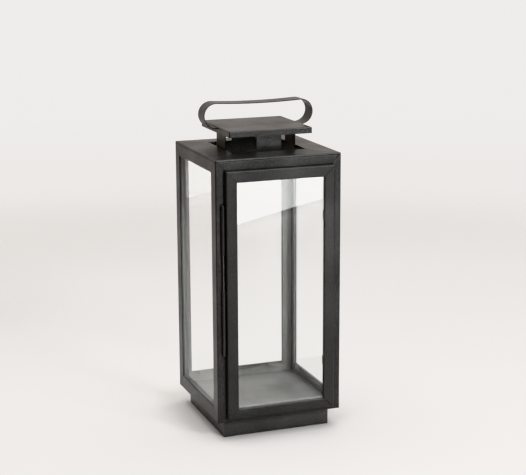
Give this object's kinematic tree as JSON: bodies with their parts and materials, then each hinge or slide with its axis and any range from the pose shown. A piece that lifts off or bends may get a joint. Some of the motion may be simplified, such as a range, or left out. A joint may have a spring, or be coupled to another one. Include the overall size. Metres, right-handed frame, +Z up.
{
  "type": "candle lantern",
  "caption": "Square glazed candle lantern of mitred black steel strips with a hinged glass door, low plinth, raised vented cap and strap handle.",
  "frame": {"origin": "centre of the plinth's underside, on the surface that the lantern stands on", "axes": "+Z up along the case's centre line, +X along the door's width from its hinge side to its free side, -Y out of the door"},
  "size_m": [0.17, 0.176, 0.43],
  "materials": {
    "case_paint": "satin black powder coat",
    "door_paint": "satin black powder coat",
    "base_paint": "satin black powder coat",
    "cap_paint": "satin black powder coat",
    "hinge_steel": "satin black powder coat",
    "clip_steel": "satin black powder coat",
    "glass": "clear polished float glass"
  },
  "bodies": {
    "case": {"bottom_rail_back": "case_paint", "bottom_rail_front": "case_paint", "bottom_rail_left": "case_paint", "bottom_rail_right": "case_paint", "cap": "cap_paint", "cap_strap_back": "cap_paint", "cap_strap_front": "cap_paint", "cap_strap_left": "cap_paint", "cap_strap_right": "cap_paint", "floor_plate": "base_paint", "glass_back": "glass", "glass_clips_back": "clip_steel", "glass_clips_left": "clip_steel", "glass_clips_right": "clip_steel", "glass_left": "glass", "glass_right": "glass", "handle_strap": "cap_paint", "hinge_pin": "hinge_steel", "hinge_tube_lower": "hinge_steel", "hinge_tube_upper": "hinge_steel", "plinth_back": "base_paint", "plinth_bottom": "base_paint", "plinth_front": "base_paint", "plinth_left": "base_paint", "plinth_right": "base_paint", "post_back_left": "case_paint", "post_back_right": "case_paint", "post_front_left": "case_paint", "post_front_right": "case_paint", "top_plate": "case_paint", "top_rail_back": "case_paint", "top_rail_front": "case_paint", "top_rail_left": "case_paint", "top_rail_right": "case_paint", "vent_collar": "case_paint"},
    "door": {"door_glass": "glass", "door_glass_clips": "clip_steel", "door_knuckle": "hinge_steel", "door_rail_bottom": "door_paint", "door_rail_top": "door_paint", "door_stile_left": "door_paint", "door_stile_right": "door_paint"}
  },
  "joints": [
    {"name": "door_hinge", "type": "hinge", "parent": "case", "child": "door", "pos_m": [-0.0762, -0.0874, 0.19015], "axis": [0, 0, -1], "range_deg": [0, 150]}
  ]
}
